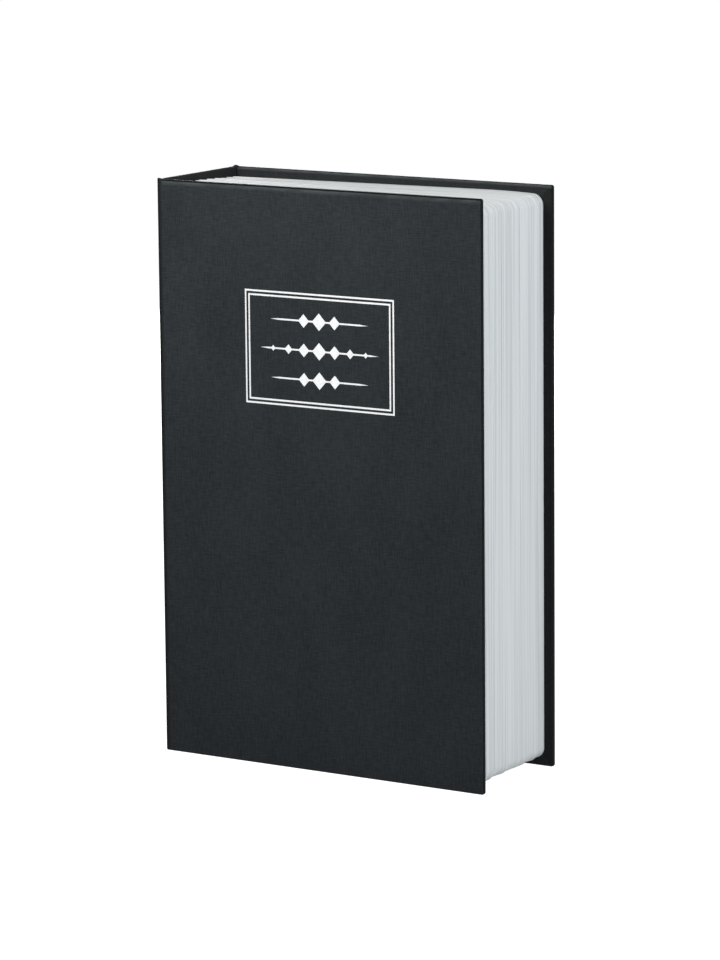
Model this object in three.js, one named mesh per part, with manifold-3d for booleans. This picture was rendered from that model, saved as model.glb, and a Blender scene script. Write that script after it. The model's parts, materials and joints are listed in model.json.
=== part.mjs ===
// Book diversion safe: a hardback case of board and cover paper round a moulded block that
// looks like pages, which hides a steel box with a hinged lid and a key lock.
// Millimetres, +Z up. The book stands on its tail edge, with its spine at -X, its fore-edge
// at +X, its front cover at -Y and its back cover at +Y. The origin is the centre of the base.

import * as THREE from "three";
import { mergeVertices } from "three/addons/utils/BufferGeometryUtils.js";
import Module from "manifold-3d";

// Overall size of the closed book
const coverHeight = 240;
const coverWidth = 155;
const bookThickness = 57.8;

// The case: boards wrapped in cover paper
const clothThickness = 0.3; // cover paper, and the lining papers inside the case
const glueGap = 0.05; // glue line between two flat pieces that are stuck or welded
const boardThickness = 1.7;
const turnIn = 15; // cover paper folded over onto the inner face of a board
const foldClearance = 0.3; // between the rolled fold at a spine corner and the boards beside it

// The moulded page block
const foreEdgeSquare = 4; // how far the covers stand past the pages
const headSquare = 3.4;
const tailSquare = 3.2;
const pagesToCase = 0.3; // from the pages to the front cover and to the spine
const pageCornerRadius = 4.5;
const pageWall = 2;
const bundleCount = 24; // leaves are moulded as bundles with a groove between two of them
const bundleGrooveWidth = 0.45;
const bundleGrooveDepth = 0.3;
const rimWidth = 8; // the border of the page block that shows round the steel lid
const rimThickness = 2.2;
const windowWall = 1.5; // wall that runs from the rim down to the steel box

// The steel box and its lid
const steelSheet = 1;
const trayToPages = 1;
const lidTopClearance = 0.7; // the highest thing on the lid lies this far below the rim
const lidToLip = 0.3;
const lidToWindow = 0.8;
const lidOverlap = 3; // how far the lid lies over the lip of the box
const lidFlangeDepth = 5;
const lidFlangeClearance = 0.8;

// The lid's long hinge
const knuckleRadius = 1.9;
const knuckleCount = 9;
const knuckleGap = 0.4;
const hingePinRadius = 0.9;
const hingePinClearance = 0.2;
const hingeRunningGap = 0.3; // from the knuckles to the box, and from the leaves to the knuckles
const hingeToWindow = 1.1;
const hingeEndInset = 4;
const leafThickness = 0.8;
const movingLeafWidth = 9;
const fixedLeafWidth = 4;

// The cam lock in the lid
const plugRadius = 5;
const plugClearance = 0.2;
const plugCollarStep = 1.2; // how much wider the plug is in its front collar
const plugCollarHeight = 1;
const lockWall = 2.55;
const lockFlatDepth = 0.9; // two flats on the threaded body keep it from turning in the lid
const lockHeadLip = 1.25;
const lockHeadHeight = 2.5;
const lockHeadOverlap = 1; // the barrel runs this far up into the head that it is one piece with
const lockBodyLength = 10;
const lockHoleClearance = 0.25;
const lockToFlange = 0.85;
const washerStep = 2.6;
const washerThickness = 0.8;
const nutWall = 2.25;
const nutThickness = 3;
const nutSides = 6;
const keywayWidth = 1.7;
const keywayHeight = 6.4;
const waferCount = 4;
const waferPitch = 1.7;
const firstWaferDepth = 2.4;
const waferThickness = 0.8;
const waferClearance = 0.2;
const waferWidth = 4.4;
const waferHeight = 8.4;
const waferFrame = 1; // width of the frame round a wafer's key window
const waferWindowHeight = 5.8;
const waferLift = 0.3; // how far a wafer's key window lies off its centre
const lugReach = 1.5; // lug at a wafer's side that the spring pushes on
const lugHeight = 1.2;
const lugLift = 0.6; // from the plug's axis to the lug's lower face
const springRadius = 0.42;
const springLength = 3;
const tenonHalfWidth = 2.8;
const camThickness = 1.5;
const camHalfWidth = 6;
const camClearance = 0.15;
const camEngagement = 4.5; // how far the locked cam reaches past the strike's edge
const camScrewHeadRadius = 3.6;
const camScrewHeadHeight = 1.6;
const camScrewRadius = 1.7;
const camScrewClearance = 0.15;
const camScrewWall = 0.6; // plug metal between the screw hole and the keyway
const camScrewSlotWidth = 0.9;
const camScrewSlotDepth = 0.7;
const camWasherRadius = 4.6;
const camWasherThickness = 0.6;

// The strike that the locked cam turns behind
const strikeThickness = 1.2;
const strikeReach = 7.5;
const strikeWidth = 24;
const strikeToCam = 0.5;

// Rivets through the floor of the box and the back board
const rivetShankRadius = 1.6;
const rivetHeadRadius = 3.6;
const rivetHeadHeight = 1.2;
const rivetTailRadius = 2.8;
const rivetTailHeight = 0.5;
const rivetClearance = 0.3;
const rivetInsetAcross = 26; // from the side walls of the box
const rivetInsetAlong = 38; // from its head and tail walls

// Foil stamping on the front cover
const borderFromSpine = 43;
const borderFromHead = 42.5;
const borderWidth = 71.5;
const borderHeight = 46.7;
const ruleWidth = 0.75;
const rulePitch = 1.65;
const foilThickness = 0.1;
const foilSink = 0.05; // the foil is pressed this far below the paper's surface
const foilClearance = 0.1;
const ornamentRule = 0.35; // half width of the thin line that the lozenges are strung on
const ornamentRowPitch = 12;
const ornamentTaper = 4;
const shortOrnamentLength = 47;
const longOrnamentLength = 57;
const lozengeHalfLength = 3.4;
const lozengeHalfHeight = 3.6;
const lozengeFade = 0.22; // each lozenge is smaller than its inner neighbour by this share
const lozengePitch = 7.4;

// Facets
const roundSegments = 28;
const smallRoundSegments = 18; // rivets, hinge knuckles and folds
const cornerSegments = 4;

// Planes of the case
const coverThickness = 2 * clothThickness + 2 * glueGap + boardThickness;
const foldRadius = coverThickness / 2;
const spineOuterX = -coverWidth / 2;
const foreEdgeX = coverWidth / 2;
const spineInnerX = spineOuterX + coverThickness;
const frontOuterY = -bookThickness / 2;
const backOuterY = bookThickness / 2;
const frontInnerY = frontOuterY + coverThickness;
const backInnerY = backOuterY - coverThickness;
const coverStartX = spineInnerX + foldClearance;
const foldX = spineOuterX + foldRadius;

// Planes of the page block
const pagesSpineX = spineInnerX + pagesToCase;
const pagesForeX = foreEdgeX - foreEdgeSquare;
const pagesFrontY = frontInnerY + pagesToCase;
const pagesBackY = backInnerY - glueGap;
const pagesTailZ = tailSquare;
const pagesHeadZ = coverHeight - headSquare;
const middleZ = (pagesTailZ + pagesHeadZ) / 2;
const windowX = [pagesSpineX + rimWidth, pagesForeX - rimWidth];
const windowZ = [pagesTailZ + rimWidth, pagesHeadZ - rimWidth];

// Planes of the steel box and the lid
const knuckleRise = 2 * knuckleRadius + hingeRunningGap - lidToLip - steelSheet;
const lidOuterY = pagesFrontY + lidTopClearance + Math.max(lockHeadHeight + glueGap, knuckleRise);
const lidInnerY = lidOuterY + steelSheet;
const lipOuterY = lidInnerY + lidToLip;
const trayInset = pageWall + trayToPages;
const trayX = [pagesSpineX + trayInset, pagesForeX - trayInset];
const trayZ = [pagesTailZ + trayInset, pagesHeadZ - trayInset];
const trayY = [lipOuterY, pagesBackY];
const hingeX = windowX[0] + hingeToWindow + knuckleRadius;
const hingeY = lipOuterY - hingeRunningGap - knuckleRadius;
const lidX = [hingeX + knuckleRadius + hingeRunningGap, windowX[1] - lidToWindow];
const lidZ = [windowZ[0] + lidToWindow, windowZ[1] - lidToWindow];
const mouthX = [lidX[0] + lidOverlap, lidX[1] - lidOverlap];
const mouthZ = [lidZ[0] + lidOverlap, lidZ[1] - lidOverlap];
const flangeX = [mouthX[0] + lidFlangeClearance, mouthX[1] - lidFlangeClearance];
const flangeZ = [mouthZ[0] + lidFlangeClearance, mouthZ[1] - lidFlangeClearance];
const trayFloorY = pagesBackY - steelSheet;

// Sizes of the lock, measured along Y from the outer face of the lid
const lockBoreRadius = plugRadius + plugClearance;
const lockBodyRadius = lockBoreRadius + lockWall;
const lockHeadRadius = lockBodyRadius + lockHeadLip;
const nutFlatRadius = lockBodyRadius + nutWall;
const nutCornerRadius = nutFlatRadius / Math.cos(Math.PI / nutSides);
const lockX = flangeX[1] - steelSheet - lockToFlange - nutCornerRadius;
const headFrontY = -glueGap - lockHeadHeight;
const bodyEndY = lockBodyLength;
const camY = [bodyEndY + camClearance, bodyEndY + camClearance + camThickness];
const tenonEndY = camY[1] - camClearance;
const lastWaferDepth = firstWaferDepth + (waferCount - 1) * waferPitch;
const keywayEndY = headFrontY + lastWaferDepth + waferThickness;
const screwHoleY = keywayEndY + camScrewWall;
const strikeEdgeX = trayX[1] - steelSheet - strikeReach;
const camReach = strikeEdgeX + camEngagement - lockX;

// Joining and cutting of solids
const past = 1; // a cut runs this far past the face that it opens
const wasm = await Module();
wasm.setup();

function solidOf(geometry) {
  const bare = geometry.clone();
  bare.deleteAttribute("normal");
  bare.deleteAttribute("uv");
  const merged = mergeVertices(bare, 1e-4);
  const vertProperties = merged.attributes.position.array;
  const triVerts = new Uint32Array(merged.index.array);
  return new wasm.Manifold(new wasm.Mesh({ numProp: 3, vertProperties, triVerts }));
}

function geometryOf(solid) {
  const { vertProperties, triVerts } = solid.getMesh();
  const geometry = new THREE.BufferGeometry();
  geometry.setAttribute("position", new THREE.BufferAttribute(vertProperties, 3));
  geometry.setIndex(new THREE.BufferAttribute(triVerts, 1));
  geometry.computeVertexNormals();
  return geometry;
}

// A block between two planes each way, given in either order.
function block(x, y, z) {
  const size = [x, y, z].map((pair) => Math.abs(pair[1] - pair[0]));
  const middle = [x, y, z].map((pair) => (pair[0] + pair[1]) / 2);
  return solidOf(new THREE.BoxGeometry(...size).translate(...middle));
}

// A disc or rod along Y, centred on an axis at x, z.
function rodAlongY(radius, y, x = 0, z = 0, segments = roundSegments) {
  const rod = new THREE.CylinderGeometry(radius, radius, y[1] - y[0], segments);
  return solidOf(rod.translate(x, (y[0] + y[1]) / 2, z));
}

// A rod along Z, centred on an axis at x, y.
function rodAlongZ(radius, z, x, y, segments = smallRoundSegments) {
  const rod = new THREE.CylinderGeometry(radius, radius, z[1] - z[0], segments);
  rod.rotateX(Math.PI / 2);
  return solidOf(rod.translate(x, y, (z[0] + z[1]) / 2));
}

// A shape drawn in X and Z, made as thick as the two Y planes are apart.
function plate(shape, y) {
  const depth = y[1] - y[0];
  const settings = { depth, bevelEnabled: false, curveSegments: cornerSegments };
  const slab = new THREE.ExtrudeGeometry(shape, settings);
  return solidOf(slab.rotateX(Math.PI / 2).translate(0, y[1], 0));
}

function rectangle(x, z) {
  const corners = [[x[0], z[0]], [x[1], z[0]], [x[1], z[1]], [x[0], z[1]]];
  return new THREE.Shape(corners.map(([a, b]) => new THREE.Vector2(a, b)));
}

function grown(pair, by) {
  return [pair[0] - by, pair[1] + by];
}

// Materials
function finish(color, roughness, metalness) {
  return new THREE.MeshStandardMaterial({ color, roughness, metalness, flatShading: true });
}

const coverPaper = finish("#2f3436", 0.75, 0);
const greyBoard = finish("#8d867b", 0.95, 0);
const liningPaper = finish("#26282a", 0.85, 0);
const pagePlastic = finish("#d4d7d9", 0.55, 0);
const blackPowderCoat = finish("#1d1f21", 0.6, 0.1);
const chromePlate = finish("#c9ccd0", 0.15, 1);
const zincSteel = finish("#a9adb2", 0.4, 1);
const brass = finish("#b8964a", 0.35, 1);
const silverFoil = finish("#e6e8ea", 0.3, 0.9);

function piece(name, solid, material) {
  const mesh = new THREE.Mesh(geometryOf(solid), material);
  mesh.name = name;
  return mesh;
}

// The case

// Two planes of one layer of a cover, counted from its outer face inwards.
function layerOf(outerPlane, inward, from, to) {
  return [outerPlane + inward * from, outerPlane + inward * to];
}

const boardLayer = [clothThickness + glueGap, clothThickness + glueGap + boardThickness];
const liningLayer = [coverThickness - clothThickness, coverThickness];
const boardEdge = clothThickness + glueGap;

function coverBoard(outerY, inward) {
  const x = [coverStartX, foreEdgeX - boardEdge];
  return block(x, layerOf(outerY, inward, ...boardLayer), [boardEdge, coverHeight - boardEdge]);
}

// Cover paper round a board: an outer skin, folded over three edges onto the inner face.
function coverCloth(outerY, inward) {
  const skin = block([coverStartX, foreEdgeX], layerOf(outerY, inward, 0, coverThickness), [0, coverHeight]);
  const pocket = block(
    [coverStartX - past, foreEdgeX - clothThickness],
    layerOf(outerY, inward, clothThickness, coverThickness - clothThickness),
    [clothThickness, coverHeight - clothThickness],
  );
  const opening = block(
    [coverStartX - past, foreEdgeX - turnIn],
    layerOf(outerY, inward, coverThickness / 2, coverThickness + past),
    [turnIn, coverHeight - turnIn],
  );
  return skin.subtract(pocket).subtract(opening);
}

function coverLining(outerY, inward) {
  const x = [coverStartX, foreEdgeX - turnIn - glueGap];
  const z = [turnIn + glueGap, coverHeight - turnIn - glueGap];
  return block(x, layerOf(outerY, inward, ...liningLayer), z);
}

const spineY = [frontInnerY + foldClearance, backInnerY - foldClearance];

function spineBoard() {
  return block(layerOf(spineOuterX, 1, ...boardLayer), spineY, [boardEdge, coverHeight - boardEdge]);
}

function spineCloth() {
  const open = grown(spineY, past);
  const skin = block([spineOuterX, spineInnerX], spineY, [0, coverHeight]);
  const pocketX = layerOf(spineOuterX, 1, clothThickness, coverThickness - clothThickness);
  const pocket = block(pocketX, open, [clothThickness, coverHeight - clothThickness]);
  const openingX = layerOf(spineOuterX, 1, coverThickness / 2, coverThickness + past);
  const opening = block(openingX, open, [turnIn, coverHeight - turnIn]);
  return skin.subtract(pocket).subtract(opening);
}

function spineLining() {
  const z = [turnIn + glueGap, coverHeight - turnIn - glueGap];
  return block(layerOf(spineOuterX, 1, ...liningLayer), spineY, z);
}

// The cover paper rolls round the spine's two long corners.
function foldedCloth(outerY, inward) {
  return rodAlongZ(foldRadius, [0, coverHeight], foldX, outerY + inward * foldRadius);
}

// Foil stamping

const borderX = [spineOuterX + borderFromSpine, spineOuterX + borderFromSpine + borderWidth];
const borderZ = [coverHeight - borderFromHead - borderHeight, coverHeight - borderFromHead];
const foilY = [frontOuterY + foilSink, frontOuterY + foilSink + foilThickness];
const foilPressY = [frontOuterY - foilThickness, foilY[1] + glueGap];

// A rectangular line, its outer edge drawn in from the border's edge.
function foilRule(inset, extra, y) {
  const outer = rectangle(grown(borderX, extra - inset), grown(borderZ, extra - inset));
  const inner = -inset - ruleWidth - extra;
  outer.holes.push(rectangle(grown(borderX, inner), grown(borderZ, inner)));
  return plate(outer, y);
}

// A thin line with pointed ends and graded lozenges strung on it, the largest in the middle.
function foilOrnament(row, extra, y) {
  const centreX = (borderX[0] + borderX[1]) / 2;
  const centreZ = (borderZ[0] + borderZ[1]) / 2 + row.rise * ornamentRowPitch;
  const half = row.length / 2 + extra;
  const line = ornamentRule + extra;
  const upper = [[-half, 0], [-half + ornamentTaper, line]];
  for (let i = -row.sideLozenges; i <= row.sideLozenges; i += 1) {
    const share = 1 - lozengeFade * Math.abs(i);
    const height = lozengeHalfHeight * share + 2 * extra;
    const reach = (lozengeHalfLength * share + 2 * extra) * (1 - line / height);
    const at = i * lozengePitch;
    upper.push([at - reach, line], [at, height], [at + reach, line]);
  }
  upper.push([half - ornamentTaper, line], [half, 0]);
  const lower = upper.slice(1, -1).reverse().map(([x, z]) => [x, -z]);
  const points = upper.concat(lower).map(([x, z]) => new THREE.Vector2(centreX + x, centreZ + z));
  return plate(new THREE.Shape(points), y);
}

const ornamentRows = [
  { name: "foil_ornament_top", rise: 1, length: shortOrnamentLength, sideLozenges: 1 },
  { name: "foil_ornament_middle", rise: 0, length: longOrnamentLength, sideLozenges: 3 },
  { name: "foil_ornament_bottom", rise: -1, length: shortOrnamentLength, sideLozenges: 1 },
];

function frontCoverCloth() {
  let cloth = coverCloth(frontOuterY, 1);
  for (const inset of [0, rulePitch]) {
    cloth = cloth.subtract(foilRule(inset, foilClearance, foilPressY));
  }
  for (const row of ornamentRows) {
    cloth = cloth.subtract(foilOrnament(row, foilClearance, foilPressY));
  }
  return cloth;
}

// The page block

// Outline of the block seen from the front: square at the spine, rounded at the fore-edge.
function pageOutline(inset) {
  const radius = Math.max(pageCornerRadius - inset, 0.1);
  const left = pagesSpineX + inset;
  const right = pagesForeX - inset;
  const low = pagesTailZ + inset;
  const high = pagesHeadZ - inset;
  const shape = new THREE.Shape();
  shape.moveTo(left, low);
  shape.lineTo(right - radius, low);
  shape.absarc(right - radius, low + radius, radius, -Math.PI / 2, 0, false);
  shape.absarc(right - radius, high - radius, radius, 0, Math.PI / 2, false);
  shape.lineTo(left, high);
  shape.closePath();
  return shape;
}

function pageShell() {
  const pitch = (pagesBackY - pagesFrontY) / bundleCount;
  let shell = plate(pageOutline(bundleGrooveDepth), [pagesFrontY, pagesBackY]);
  for (let i = 0; i < bundleCount; i += 1) {
    const start = pagesFrontY + i * pitch + (i === 0 ? 0 : bundleGrooveWidth / 2);
    const last = i === bundleCount - 1;
    const end = pagesFrontY + (i + 1) * pitch - (last ? 0 : bundleGrooveWidth / 2);
    shell = shell.add(plate(pageOutline(0), [start, end]));
  }
  const hollow = plate(pageOutline(pageWall), [pagesFrontY + rimThickness, pagesBackY + past]);
  const wallEnd = lipOuterY - glueGap - leafThickness - hingeRunningGap;
  const wallY = [pagesFrontY + rimThickness / 2, wallEnd];
  const wall = block(grown(windowX, windowWall), wallY, grown(windowZ, windowWall));
  const window = block(windowX, [pagesFrontY - past, pagesBackY], windowZ);
  return shell.subtract(hollow).add(wall).subtract(window);
}

// The steel box

const rivetPlaces = [];
for (const x of grown(trayX, -rivetInsetAcross)) {
  for (const z of grown(trayZ, -rivetInsetAlong)) {
    rivetPlaces.push([x, z]);
  }
}

function withRivetHoles(solid, radius, y) {
  let drilled = solid;
  for (const [x, z] of rivetPlaces) {
    const hole = rodAlongY(radius + rivetClearance, y, x, z, smallRoundSegments);
    drilled = drilled.subtract(hole);
  }
  return drilled;
}

function steelTray() {
  const outside = block(trayX, trayY, trayZ);
  const insideY = [trayY[0] + steelSheet, trayFloorY];
  const inside = block(grown(trayX, -steelSheet), insideY, grown(trayZ, -steelSheet));
  const mouth = block(mouthX, [trayY[0] - past, trayY[0] + steelSheet + past], mouthZ);
  const folded = outside.subtract(inside).subtract(mouth);
  return withRivetHoles(folded, rivetShankRadius, [trayFloorY - past, pagesBackY + past]);
}

// A rivet on its own axis, with y measured from the floor of the box towards the back cover.
const rivetTailY = backOuterY - boardEdge - trayFloorY;

function rivet() {
  const domeSteps = 4;
  const points = [];
  for (let i = 0; i <= domeSteps; i += 1) {
    const angle = (i / domeSteps) * (Math.PI / 2);
    const height = glueGap + rivetHeadHeight * Math.cos(angle);
    points.push(new THREE.Vector2(rivetHeadRadius * Math.sin(angle), -height));
  }
  points.push(
    new THREE.Vector2(rivetShankRadius, -glueGap),
    new THREE.Vector2(rivetShankRadius, rivetTailY - glueGap - rivetTailHeight),
    new THREE.Vector2(rivetTailRadius, rivetTailY - glueGap - rivetTailHeight),
    new THREE.Vector2(rivetTailRadius, rivetTailY - glueGap),
    new THREE.Vector2(0, rivetTailY - glueGap),
  );
  return solidOf(new THREE.LatheGeometry(points, smallRoundSegments));
}

function backBoard() {
  const board = coverBoard(backOuterY, -1);
  const shankHoles = withRivetHoles(board, rivetShankRadius, [backInnerY, backOuterY]);
  const tailDepth = boardEdge + glueGap + rivetTailHeight + rivetClearance;
  return withRivetHoles(shankHoles, rivetTailRadius, [backOuterY - tailDepth, backOuterY]);
}

function backLining() {
  const lining = coverLining(backOuterY, -1);
  return withRivetHoles(lining, rivetShankRadius, [backInnerY - past, backInnerY + past]);
}

// Angle bracket on the fore-edge wall, with its lower leg just in front of the locked cam.
function lockStrike() {
  const wallX = trayX[1] - steelSheet - glueGap;
  const z = [middleZ - strikeWidth / 2, middleZ + strikeWidth / 2];
  const legEnd = lidOuterY + camY[0] - strikeToCam;
  const upright = block([wallX - strikeThickness, wallX], [lipOuterY + steelSheet + glueGap, legEnd], z);
  const leg = block([strikeEdgeX, wallX], [legEnd - strikeThickness, legEnd], z);
  return upright.add(leg);
}

// The lid

// The threaded body's section, a circle with two flats, as a rod along Y.
function flattedRod(radius, flatHalfWidth, y, x, z) {
  const round = rodAlongY(radius, y, x, z);
  const flats = block([x - flatHalfWidth, x + flatHalfWidth], y, [z - radius, z + radius]);
  return round.intersect(flats);
}

const lockFlatHalfWidth = lockBodyRadius - lockFlatDepth;

function steelLid() {
  const sheet = block(lidX, [lidOuterY, lidInnerY], lidZ);
  const flangeY = [lidOuterY + steelSheet / 2, lidInnerY + lidFlangeDepth];
  const rim = block(flangeX, flangeY, flangeZ);
  const insideX = [flangeX[0] - past, flangeX[1] - steelSheet];
  const inside = block(insideX, [lidInnerY, flangeY[1] + past], grown(flangeZ, -steelSheet));
  const hole = flattedRod(
    lockBodyRadius + lockHoleClearance,
    lockFlatHalfWidth + lockHoleClearance,
    [lidOuterY - past, lidInnerY + past],
    lockX,
    middleZ,
  );
  return sheet.add(rim.subtract(inside)).subtract(hole);
}

// The lid's hinge

const hingeZ = grown(lidZ, -hingeEndInset);
const knucklePitch = (hingeZ[1] - hingeZ[0]) / knuckleCount;
const hingeBoreRadius = hingePinRadius + hingePinClearance;

// A leaf with every second knuckle, joined to it by tabs. The strip and its tabs lie in one plane.
function hingeLeaf(firstKnuckle, stripX, tabX, leafY) {
  let leaf = block(stripX, leafY, hingeZ);
  for (let i = firstKnuckle; i < knuckleCount; i += 2) {
    const start = hingeZ[0] + i * knucklePitch + knuckleGap / 2;
    const z = [start, start + knucklePitch - knuckleGap];
    leaf = leaf.add(rodAlongZ(knuckleRadius, z, hingeX, hingeY));
    leaf = leaf.add(block(tabX, leafY, z));
  }
  const bore = rodAlongZ(hingeBoreRadius, grown(hingeZ, past), hingeX, hingeY);
  return leaf.subtract(bore);
}

function fixedLeaf() {
  const edge = hingeX - knuckleRadius - hingeRunningGap;
  const leafY = [lipOuterY - glueGap - leafThickness, lipOuterY - glueGap];
  const stripX = [edge - fixedLeafWidth, edge];
  return hingeLeaf(0, stripX, [stripX[0], hingeX], leafY);
}

function movingLeaf() {
  const edge = hingeX + knuckleRadius + hingeRunningGap;
  const leafY = [lidOuterY - glueGap - leafThickness, lidOuterY - glueGap];
  const stripX = [edge, edge + movingLeafWidth];
  return hingeLeaf(1, stripX, [hingeX + hingeBoreRadius, stripX[1]], leafY);
}

function hingePin() {
  return rodAlongZ(hingePinRadius, hingeZ, hingeX, hingeY);
}

// The lock, on its own axis: y = 0 is the outer face of the lid

function lockBody() {
  const head = rodAlongY(lockHeadRadius, [headFrontY, -glueGap]);
  const barrel = flattedRod(lockBodyRadius, lockFlatHalfWidth, [-glueGap - lockHeadOverlap, bodyEndY], 0, 0);
  const bore = rodAlongY(lockBoreRadius, [headFrontY - past, bodyEndY + past]);
  const seatRadius = lockBoreRadius + plugCollarStep;
  const seat = rodAlongY(seatRadius, [headFrontY - past, headFrontY + plugCollarHeight + plugClearance]);
  return head.add(barrel).subtract(bore).subtract(seat);
}

const washerY = [steelSheet + glueGap, steelSheet + glueGap + washerThickness];
const nutY = [washerY[1] + glueGap, washerY[1] + glueGap + nutThickness];

function lockWasher() {
  const disc = rodAlongY(lockBodyRadius + washerStep, washerY);
  return disc.subtract(rodAlongY(lockBodyRadius + lockHoleClearance, grown(washerY, past)));
}

function lockNut() {
  const hexagon = rodAlongY(nutCornerRadius, nutY, 0, 0, nutSides);
  return hexagon.subtract(rodAlongY(lockBodyRadius + lockHoleClearance, grown(nutY, past)));
}

function waferPlane(index) {
  const centre = headFrontY + firstWaferDepth + index * waferPitch;
  return [centre - waferThickness / 2, centre + waferThickness / 2];
}

const lugX = [waferWidth / 2, waferWidth / 2 + lugReach];
const lugZ = [lugLift, lugLift + lugHeight];
const springBottomZ = lugZ[0] - glueGap - springLength;

function lockPlug() {
  const collarRadius = plugRadius + plugCollarStep;
  const collar = rodAlongY(collarRadius, [headFrontY, headFrontY + plugCollarHeight]);
  const barrel = rodAlongY(plugRadius, [headFrontY, bodyEndY]);
  const tenonSide = [-tenonHalfWidth, tenonHalfWidth];
  const tenon = block(tenonSide, [bodyEndY - past, tenonEndY], tenonSide);
  const keywaySide = [-keywayWidth / 2, keywayWidth / 2];
  const keywayRise = [-keywayHeight / 2, keywayHeight / 2];
  const keyway = block(keywaySide, [headFrontY - past, keywayEndY], keywayRise);
  const screwHole = rodAlongY(camScrewRadius + camScrewClearance, [screwHoleY, tenonEndY + past]);
  let plug = collar.add(barrel).add(tenon).subtract(keyway).subtract(screwHole);
  for (let i = 0; i < waferCount; i += 1) {
    const slotY = grown(waferPlane(i), waferClearance);
    const slotX = grown([-waferWidth / 2, waferWidth / 2], waferClearance);
    plug = plug.subtract(block(slotX, slotY, [-plugRadius - past, plugRadius + past]));
    const pocketX = [0, lugX[1] + waferClearance];
    const pocketZ = [springBottomZ - glueGap, lugZ[1] + waferLift + waferClearance];
    plug = plug.subtract(block(pocketX, slotY, pocketZ));
  }
  return plug;
}

// A wafer is a flat frame that the key passes through, with a lug at its side.
function lockWafer(index) {
  const y = waferPlane(index);
  const body = block([-waferWidth / 2, waferWidth / 2], y, [-waferHeight / 2, waferHeight / 2]);
  const lug = block([0, lugX[1]], y, lugZ);
  const lift = waferLift * (index % 2 === 0 ? 1 : -1);
  const openingX = grown([-waferWidth / 2, waferWidth / 2], -waferFrame);
  const openingZ = [lift - waferWindowHeight / 2, lift + waferWindowHeight / 2];
  return body.add(lug).subtract(block(openingX, grown(y, past), openingZ));
}

function waferSpring(index) {
  const [low, high] = waferPlane(index);
  const x = (lugX[0] + lugX[1]) / 2 + waferClearance;
  return rodAlongZ(springRadius, [springBottomZ, lugZ[0] - glueGap], x, (low + high) / 2);
}

// The cam is a bar with a round end. It points to the head while the lock is open.
function lockCam() {
  const outline = new THREE.Shape();
  const tipRadius = camHalfWidth;
  outline.moveTo(camHalfWidth, 0);
  outline.lineTo(camHalfWidth, camReach - tipRadius);
  outline.absarc(0, camReach - tipRadius, tipRadius, 0, Math.PI, false);
  outline.lineTo(-camHalfWidth, 0);
  outline.absarc(0, 0, camHalfWidth, Math.PI, 2 * Math.PI, false);
  const holeSide = grown([-tenonHalfWidth, tenonHalfWidth], camClearance);
  return plate(outline, camY).subtract(block(holeSide, grown(camY, past), holeSide));
}

const camWasherY = [camY[1] + glueGap, camY[1] + glueGap + camWasherThickness];
const camScrewHeadY = [camWasherY[1] + glueGap, camWasherY[1] + glueGap + camScrewHeadHeight];

function camWasher() {
  const disc = rodAlongY(camWasherRadius, camWasherY);
  return disc.subtract(rodAlongY(camScrewRadius + camScrewClearance, grown(camWasherY, past)));
}

function camScrew() {
  const head = rodAlongY(camScrewHeadRadius, camScrewHeadY);
  const shank = rodAlongY(camScrewRadius, [screwHoleY + camScrewClearance, camScrewHeadY[0] + glueGap]);
  const slotSide = [-camScrewSlotWidth / 2, camScrewSlotWidth / 2];
  const slotY = [camScrewHeadY[1] - camScrewSlotDepth, camScrewHeadY[1] + past];
  const slot = block(grown([-camScrewHeadRadius, camScrewHeadRadius], past), slotY, slotSide);
  return head.add(shank).subtract(slot);
}

// The assembly

function group(name, ...children) {
  const made = new THREE.Group();
  made.name = name;
  made.add(...children);
  return made;
}

const frontCover = group(
  "front_cover_group",
  piece("front_board", coverBoard(frontOuterY, 1), greyBoard),
  piece("front_cover_cloth", frontCoverCloth(), coverPaper),
  piece("front_endpaper", coverLining(frontOuterY, 1), liningPaper),
  piece("foil_outer_rule", foilRule(0, 0, foilY), silverFoil),
  piece("foil_inner_rule", foilRule(rulePitch, 0, foilY), silverFoil),
  ...ornamentRows.map((row) => piece(row.name, foilOrnament(row, 0, foilY), silverFoil)),
);

const spine = group(
  "spine_group",
  piece("spine_board", spineBoard(), greyBoard),
  piece("spine_cloth", spineCloth(), coverPaper),
  piece("spine_lining", spineLining(), liningPaper),
  piece("front_hinge_cloth", foldedCloth(frontOuterY, 1), coverPaper),
);

const backCover = group(
  "back_cover_group",
  piece("back_board", backBoard(), greyBoard),
  piece("back_cover_cloth", coverCloth(backOuterY, -1), coverPaper),
  piece("back_endpaper", backLining(), liningPaper),
  piece("back_hinge_cloth", foldedCloth(backOuterY, -1), coverPaper),
);

const rivets = rivetPlaces.map(([x, z], index) => {
  const made = piece("rivet_" + (index + 1), rivet(), zincSteel);
  made.position.set(x, trayFloorY, z);
  return made;
});

const steelBox = group(
  "steel_box_group",
  piece("page_shell", pageShell(), pagePlastic),
  piece("tray", steelTray(), blackPowderCoat),
  piece("lock_strike", lockStrike(), blackPowderCoat),
  piece("hinge_leaf_fixed", fixedLeaf(), blackPowderCoat),
  piece("hinge_pin", hingePin(), zincSteel),
  ...rivets,
);

const wafers = [];
for (let i = 0; i < waferCount; i += 1) {
  wafers.push(piece("lock_wafer_" + (i + 1), lockWafer(i), brass));
  wafers.push(piece("wafer_spring_" + (i + 1), waferSpring(i), zincSteel));
}

const lock = group(
  "lock_group",
  piece("lock_body", lockBody(), chromePlate),
  piece("lock_washer", lockWasher(), zincSteel),
  piece("lock_nut", lockNut(), zincSteel),
  piece("lock_plug", lockPlug(), chromePlate),
  ...wafers,
  piece("cam", lockCam(), zincSteel),
  piece("cam_washer", camWasher(), zincSteel),
  piece("cam_screw", camScrew(), zincSteel),
);
lock.position.set(lockX, lidOuterY, middleZ);

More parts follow.
